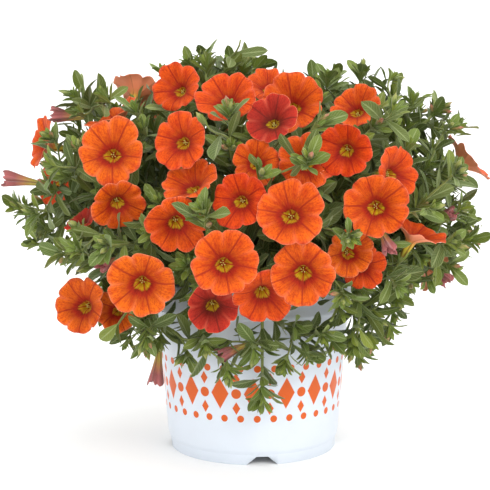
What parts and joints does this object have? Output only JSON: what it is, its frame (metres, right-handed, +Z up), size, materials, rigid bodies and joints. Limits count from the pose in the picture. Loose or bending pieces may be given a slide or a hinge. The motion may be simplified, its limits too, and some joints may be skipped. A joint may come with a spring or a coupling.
{
  "type": "potted calibrachoa",
  "caption": "Potted calibrachoa: a trailing mound of leafy stems with orange funnel blooms, standing in a round white nursery pot filled with soil.",
  "frame": {"origin": "middle of the footprint of the whole plant, on the ground under the pot; the pot's axis stands a few millimetres from it", "axes": "+Z up along the pot's axis, -Y towards the fullest side of the mound, +X to the right seen from there"},
  "size_m": [0.4408, 0.3848, 0.3711],
  "materials": {
    "pot_plastic": "satin",
    "soil": "matte",
    "foliage": "matte",
    "orange_petal": "matte",
    "crimson_petal": "matte",
    "spent_petal": "matte"
  },
  "bodies": {
    "root": {"pot": "pot_plastic", "potting_soil": "soil", "leafy_stem_01": "foliage", "leafy_stem_02": "foliage", "leafy_stem_03": "foliage", "leafy_stem_04": "foliage", "leafy_stem_05": "foliage", "leafy_stem_06": "foliage", "leafy_stem_07": "foliage", "leafy_stem_08": "foliage", "leafy_stem_09": "foliage", "leafy_stem_10": "foliage", "leafy_stem_11": "foliage", "leafy_stem_12": "foliage", "leafy_stem_13": "foliage", "bloom_01": "orange_petal", "bloom_02": "orange_petal", "bloom_03": "crimson_petal", "bloom_04": "orange_petal", "bloom_05": "orange_petal", "bloom_06": "orange_petal", "bloom_07": "orange_petal", "bloom_08": "orange_petal", "bloom_09": "orange_petal", "bloom_10": "orange_petal", "bloom_11": "orange_petal", "bloom_12": "crimson_petal", "bloom_13": "crimson_petal", "bloom_14": "orange_petal", "bloom_15": "orange_petal", "bloom_16": "orange_petal", "bloom_17": "orange_petal", "bloom_18": "orange_petal", "bloom_19": "orange_petal", "bloom_20": "orange_petal", "bloom_21": "orange_petal", "bloom_22": "orange_petal", "bloom_23": "orange_petal", "bloom_24": "crimson_petal", "bloom_25": "orange_petal", "bloom_26": "orange_petal", "bloom_27": "orange_petal", "bloom_28": "orange_petal", "bloom_29": "orange_petal", "bloom_30": "orange_petal", "bloom_31": "orange_petal", "bloom_32": "orange_petal", "bloom_33": "orange_petal", "bloom_34": "orange_petal", "bloom_35": "orange_petal", "bloom_36": "orange_petal", "spent_bloom_01": "spent_petal", "spent_bloom_02": "spent_petal", "spent_bloom_03": "spent_petal", "spent_bloom_04": "spent_petal", "spent_bloom_05": "spent_petal", "spent_bloom_06": "spent_petal", "spent_bloom_07": "spent_petal", "spent_bloom_08": "spent_petal"}
  },
  "joints": []
}
